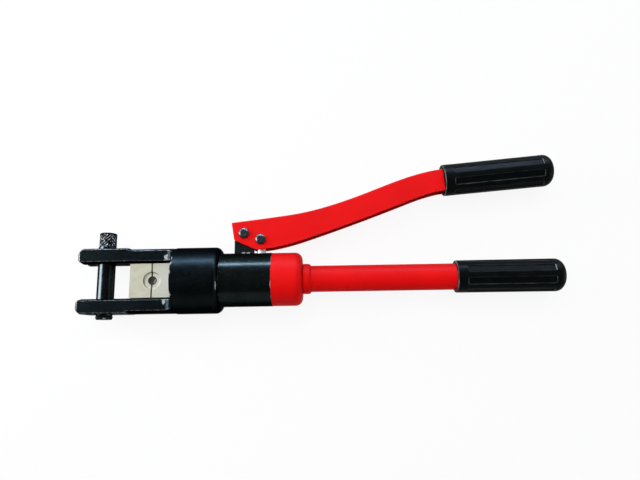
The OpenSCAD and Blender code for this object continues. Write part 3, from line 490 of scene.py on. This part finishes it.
def grip_mesh(name, length, depth, hole, place):
    """A grip from its lip: the hole for what it holds, a rolled lip, sunk panels and a domed end."""
    angles = grip_angles()
    front = [*FRONT_ROWS, *(PANEL_START + s for s in PANEL_ROWS)]
    back = [length - PANEL_STOP - s for s in reversed(PANEL_ROWS)] + [length - s for s in BACK_ROWS]
    gap = back[0] - front[-1]
    middle = [front[-1] + gap * i / MIDDLE_ROWS for i in range(1, MIDDLE_ROWS)]
    flat = DOME_FLAT * END_R
    rows, marks = [], []

    def row(s, radius, rub_or_shine=0.0):
        rows.append([place(s, radius(a) * math.sin(a), radius(a) * math.cos(a)) for a in angles])
        marks.append([rub_or_shine] * len(angles))

    row(depth, hole)
    for s, wider in MOUTH:
        row(s, lambda a: hole(a) + wider)
    for i, t in enumerate(sweep(0, 90, LIP_STEPS)):
        rolled = LIP_R - LIP_ROUND + LIP_ROUND * math.sin(t)
        row(LIP_ROUND * (1 - math.cos(t)), lambda a: rolled, LIP_SHINE if i in LIP_LIT_ROWS else 0.0)
    for s in front + middle + back:
        row(s, lambda a: grip_radius(s, a, length)[0])
        marks[-1] = [grip_radius(s, a, length)[1] for a in angles]
    for t in sweep(0, 90, DOME_STEPS):
        row(length - DOME + DOME * math.sin(t), lambda a: flat + (END_R - flat) * math.cos(t))
    row(length, lambda a: DOME_TIP_R)
    return rings_mesh(name, rows, place(depth, 0, 0), place(length, 0, 0), marks)


def on_handle(s, y, z):
    return point(HANDLE_GRIP_X + s, y, z)


def on_lever(s, y, z):
    c, w = math.cos(LEVER_SLOPE), math.sin(LEVER_SLOPE)
    return point(LEVER_GRIP_X + s * c - y * w, LEVER_GRIP_Y + s * w + y * c, z)


def tube_hole(angle):
    return HANDLE_HOLE_R


def tang_hole(angle):
    up, side = math.sin(angle), math.cos(angle)
    tall = TANG_UP if up > 0 else TANG_DOWN
    return min(TANG_SIDE / max(abs(side), TINY), tall / max(abs(up), TINY))


handle_grip = grip_mesh("handle_grip_fine", HANDLE_GRIP, HANDLE_HOLE, tube_hole, on_handle)
piece("handle_grip_fine", handle_grip, GRIP, "handle_grip")
lever_grip = grip_mesh("lever_grip_fine", LEVER_GRIP, LEVER_HOLE, tang_hole, on_lever)
piece("lever_grip_fine", lever_grip, GRIP, "lever_grip")


# Lock pin, with its diamond knurl, in millimetres along it from the ram's axis

PIN_X, PIN_R, COLLAR_R, TAIL_R = -50.5, 8.65, 8.95, 8.1
PAD, COLLAR_TOP, KNOB_TOP, TAIL_END = 33.2, 36.2, 51.0, -38.4
TAIL_ROUND, KNOB_ROUND, NECK_R = 1.5, 1.6, PIN_R - 0.35
# The groove for the ring on the tail, and the tail behind it
RING_Y, RING_R, GROOVE_R, TAIL_TOP = -35.8, 0.9, 7.75, -34.3
KNURLS, KNURL_PITCH, KNURL_DEPTH, PER_KNURL = 16, 3.4, 0.60, 14
# The knurl starts with the knob, is soon full, and fades out before the knob's rounded top
KNOB_START, KNURL_FULL = COLLAR_TOP + 0.5, COLLAR_TOP + 1.1
KNURL_FADE, KNURL_END = KNOB_TOP - 2.0, KNOB_TOP - 1.2
DISH = KNOB_TOP - 0.25
# The part of a turn, from the top, where the ridges along one slant get painted highlights, standing in for
# the facets that face the light. Elsewhere it's the others
LIT_FROM, LIT_TO, KNURL_SHINE = 0.14, 0.94, 3


def knurl(y, turn):
    """Depth of the knurl below the knob's surface, and the painted highlight on its ridges."""
    along = (y - COLLAR_TOP) / KNURL_PITCH
    cuts = [1 - abs(2 * (t % 1.0) - 1) for t in (KNURLS * turn + along, KNURLS * turn - along)]
    fade = step(y, KNOB_START, KNURL_FULL) * (1 - step(y, KNURL_FADE, KNURL_END))
    slant = cuts[0 if LIT_FROM < turn < LIT_TO else 1]
    return KNURL_DEPTH * max(cuts) * fade, KNURL_SHINE * fade * (1 - step(slant, 0.04, 0.26))


def pin_profile():
    """Points of (radius, height along the pin), from the tail to the top of the knob."""
    tail = [(TAIL_R - TAIL_ROUND + TAIL_ROUND * math.sin(t), TAIL_END + TAIL_ROUND - TAIL_ROUND * math.cos(t))
            for t in sweep(0, 90, 6)]
    groove = [(GROOVE_R - RING_R * math.sin(t), RING_Y + RING_R * math.cos(t)) for t in sweep(157, 23, 8)]
    shank = [(TAIL_R, TAIL_TOP), (TAIL_R, -PAD - 0.1), (PIN_R - 0.2, 0.8 - PAD), (PIN_R, 1.1 - PAD),
             (PIN_R, -16), (PIN_R, 0), (PIN_R, 16), (PIN_R, PAD)]
    collar = [(COLLAR_R - 0.25, PAD), (COLLAR_R, PAD + 0.25), (COLLAR_R, COLLAR_TOP - 0.3),
              (COLLAR_R - 0.3, COLLAR_TOP), (NECK_R, COLLAR_TOP + 0.05), (NECK_R, COLLAR_TOP + 0.4)]
    count = round((KNOB_TOP - KNOB_ROUND - KNOB_START) / KNURL_PITCH * PER_KNURL)
    knob = [(PIN_R, KNOB_START + i * KNURL_PITCH / PER_KNURL) for i in range(count)]
    top = [(PIN_R - KNOB_ROUND + KNOB_ROUND * math.cos(t), KNOB_TOP - KNOB_ROUND + KNOB_ROUND * math.sin(t))
           for t in sweep(0, 90, 6)]
    dish = [(5.0, KNOB_TOP), (4.6, KNOB_TOP - 0.15), (1.2, DISH)]
    return tail + groove + shank + collar + knob + top + dish


def pin_mesh():
    around = KNURLS * PER_KNURL
    rows, marks = [], []
    for r, y in pin_profile():
        row, rub_or_shine = [], []
        cut = KNOB_START < y < KNURL_END and r > PIN_R - 1.0
        for k in range(around):
            turn = k / around
            deep, ridge_shine = knurl(y, turn) if cut else (0.0, 0.0)
            q, angle = r - deep, 2 * math.pi * turn
            row.append(point(PIN_X + q * math.sin(angle), y, q * math.cos(angle)))
            rub_or_shine.append(ridge_shine)
        rows.append(row)
        marks.append(rub_or_shine)
    return rings_mesh("lock_pin_fine", rows, point(PIN_X, TAIL_END, 0), point(PIN_X, DISH, 0), marks)


piece("lock_pin_fine", pin_mesh(), PIN, "lock_pin")


# CAD nodes with their edges rounded. The functions pick edges by their middles, in millimetres

HEAD_BORE_R, ROOT_FROM, ROOT_TO = 28, 22, 26
LEVER_NOSE, LEVER_SIDE, LEVER_BEND_END, LEVER_HIDDEN = 84, 8.9, 305, 310
RAM_FACE = 22.6
CROWN_SHARE = 0.86


def everywhere(x, y, z, e):
    return True


def beyond(radius, behind=-math.inf):
    """Picks edges further than a radius from the ram's axis, and behind a place along it."""
    return lambda x, y, z, e: math.hypot(y, z) > radius and x > behind


def ahead_of(limit):
    return lambda x, y, z, e: x < limit


def outside_head(x, y, z, e):
    """Neither in the bore of the head nor at the root of its arms."""
    return not (x > ROOT_FROM and math.hypot(y, z) < HEAD_BORE_R) and not ROOT_FROM < x < ROOT_TO


def top_bends(x, y, z, e):
    """The long bends between the lever's top and its two sides."""
    flats = sorted(abs(f.normal.z) for f in e.link_faces)
    along = (e.verts[1].co - e.verts[0].co).normalized()
    upper = max((f.normal for f in e.link_faces), key=lambda n: -abs(n.z)).y > 0.3
    level = abs(along.z) < 0.1 and abs(z) > LEVER_SIDE and x < LEVER_BEND_END
    return flats[0] < 0.1 and flats[1] > 0.95 and upper and level


def nose_corner(x, y, z, e):
    """The corners at the lever's front end that run from side to side of it."""
    return x < LEVER_NOSE and abs((e.verts[1].co - e.verts[0].co).normalized().z) > 0.9


def crown(x, y, z, e):
    """The rim between the flat top of a bolt's head and its chamfer."""
    flats = sorted(abs(f.normal.z) for f in e.link_faces)
    return flats[1] > 0.98 and 0.5 < flats[0] < 0.95


def flatter_crown(bm):
    """Draws in the rim of a bolt's head, so that its chamfer slopes at about thirty degrees."""
    top = max(v.co.z for v in bm.verts)
    rim = [v for v in bm.verts if v.co.z > top - 0.01 * MM]
    middle = sum((v.co for v in rim), Vector()) / len(rim)
    for v in rim:
        v.co = middle + CROWN_SHARE * (v.co - middle)


# Each radius is a little less than the outside of its piece
reworked("head_yoke", HEAD, (outside_head, 0.45, 2))
reworked("pump_body", BARREL, (beyond(27.2), 0.35, 2))
reworked("reservoir_cap", RED, (beyond(26.5), 0.5, 3))
reworked("handle_collar", RED, (beyond(15, behind=152), 0.8, 3))
reworked("handle_tube", RED, (beyond(13.2), 0.5, 3))
reworked("lever_arm", RED, (top_bends, 2.0, 4), (nose_corner, 1.0, 3), (ahead_of(LEVER_HIDDEN), 0.3, 2))
reworked("fulcrum_bracket", LUG, (everywhere, 0.4, 2))
for part in ("fulcrum_bolt", "drive_bolt"):
    reworked(part, BOLT, (crown, 0.3, 2), (everywhere, 0.22, 2), shape=flatter_crown)
for part in ("fulcrum_nut", "drive_nut"):
    reworked(part, BOLT, (everywhere, 0.22, 2))
reworked("lever_washers", BOLT, (everywhere, 0.15, 1))
reworked("ram_die", DIE, (ahead_of(RAM_FACE), 0.22, 2))
reworked("outer_die", DIE, (everywhere, 0.22, 2))


# Camera, as the photograph was taken

PHOTO_WIDTH, FOCAL_PIXELS, SENSOR = 640, 530, 36
CAMERA_PLACE = (0.1767, -0.0607, 0.5428)

tilt, yaw, roll = (math.radians(a) for a in (10.56, 0.59, -1.00))
turn = Matrix.Rotation(tilt, 4, "X") @ Matrix.Rotation(yaw, 4, "Y") @ Matrix.Rotation(roll, 4, "Z")
cam_data = bpy.data.cameras.new("camera")
cam_data.sensor_width = SENSOR
cam_data.lens = FOCAL_PIXELS / PHOTO_WIDTH * SENSOR
cam = bpy.data.objects.new("camera", cam_data)
cam.matrix_world = Matrix.Translation(CAMERA_PLACE) @ turn
scene.collection.objects.link(cam)
scene.camera = cam


# Floor and light, in metres

FLOOR_X, FLOOR_DROP, FLOOR_SIDES = 0.17, 0.0005, 96
FLOOR_DISC, FLOOR_R, COVE_R, COVE_STEPS, WALL_TOP = 0.6, 3.0, 0.8, 10, 2.2
FLOOR_COLOUR = (0.85, 0.85, 0.85)
# Share of plain white that the floor shows to the camera and in reflections. The rest is its lit colour,
# with the shadow. A small patch, in millimetres, that shows through the nest is left in the shade
WHITE_SHARE, SHADED_SHARE = 0.90, 0.10
SHADED_PLACE, SHADED_RADII = (-181.1, 3.8, 0), (3.6, 3.6, 0)


def studio_floor():
    """A round pale floor that turns up into a low wall, so that the background stays pale from every side."""
    cove = [(FLOOR_R + COVE_R * math.sin(t), COVE_R - COVE_R * math.cos(t)) for t in sweep(0, 90, COVE_STEPS)]
    profile = [(FLOOR_DISC, 0.0), *cove, (FLOOR_R + COVE_R, WALL_TOP)]
    turns = [2 * math.pi * k / FLOOR_SIDES for k in range(FLOOR_SIDES)]
    points = [Vector((r * math.cos(a), r * math.sin(a), z)) for r, z in profile for a in turns]
    faces = [tuple(range(FLOOR_SIDES))]
    for i in range(len(profile) - 1):
        a, b = FLOOR_SIDES * i, FLOOR_SIDES * (i + 1)
        for k in range(FLOOR_SIDES):
            n = (k + 1) % FLOOR_SIDES
            faces.append((a + k, b + k, b + n, a + n))
    mesh = bpy.data.meshes.new("floor")
    mesh.from_pydata(points, [], faces)
    mesh.shade_smooth()
    obj = bpy.data.objects.new("floor", mesh)
    obj.location = (FLOOR_X, 0, cad_box[0][2] - FLOOR_DROP)
    scene.collection.objects.link(obj)
    return obj


def floor_material():
    ground = Finish("floor", FLOOR_COLOUR, 0.9)
    path = ground.node("ShaderNodeLightPath").outputs
    mirrored = ground.combine("MAXIMUM", path["Is Glossy Ray"], path["Is Transmission Ray"])
    seen = ground.combine("MAXIMUM", path["Is Camera Ray"], mirrored)
    shaded = ground.near(SHADED_PLACE, SHADED_RADII, 0.5)
    share = ground.combine("MULTIPLY", seen, ground.range(shaded, 0.0, 1.0, WHITE_SHARE, SHADED_SHARE))
    white = ground.node("ShaderNodeEmission", {"Color": (1, 1, 1, 1), "Strength": 1.0}).outputs[0]
    blend = ground.node("ShaderNodeMixShader", {0: share, 1: ground.shader.outputs[0], 2: white})
    ground.feed(ground.tree.nodes["Material Output"].inputs["Surface"], blend.outputs[0])
    return ground.mat


floor = studio_floor()
floor.data.materials.append(floor_material())


def softbox(name, place, target, size, power, colour=(1, 1, 1), glossy=True, diffuse=True):
    data = bpy.data.lights.new(name, "AREA")
    data.shape = "RECTANGLE"
    data.size, data.size_y = size
    data.energy = power
    data.color = colour
    obj = bpy.data.objects.new(name, data)
    aim = (Vector(target) - Vector(place)).to_track_quat("-Z", "Y").to_matrix().to_4x4()
    obj.matrix_world = Matrix.Translation(place) @ aim
    obj.visible_glossy = glossy
    obj.visible_diffuse = diffuse
    scene.collection.objects.link(obj)


# Two lamps light the colours, and three strips are only there to be reflected
softbox("fill", (0.10, 0.35, 1.6), (0.17, 0.0, 0.0), (1.6, 1.2), 26, glossy=False)
softbox("left", (-0.9, 0.35, 0.55), (0.0, 0.0, 0.0), (0.5, 0.4), 6.5, (0.97, 0.98, 1.0), glossy=False)
softbox("strip", (0.17, 1.05, 0.50), (0.17, 0.0, 0.0), (2.2, 0.14), 90, (0.56, 0.72, 1.0), diffuse=False)
softbox("left_strip", (-0.9, 0.15, 0.50), (-0.05, 0.0, 0.0), (0.6, 0.62), 42, (0.86, 0.93, 1.0),
        diffuse=False)
softbox("right_strip", (1.3, -0.1, 0.15), (0.2, 0.0, 0.0), (0.5, 0.2), 3.5, (0.97, 0.98, 1.0),
        diffuse=False)
world = bpy.data.worlds.new("world")
scene.world = world
world.use_nodes = True
sky = world.node_tree.nodes["Background"].inputs
sky["Color"].default_value = (0.92, 0.95, 1.0, 1)
sky["Strength"].default_value = 0.06
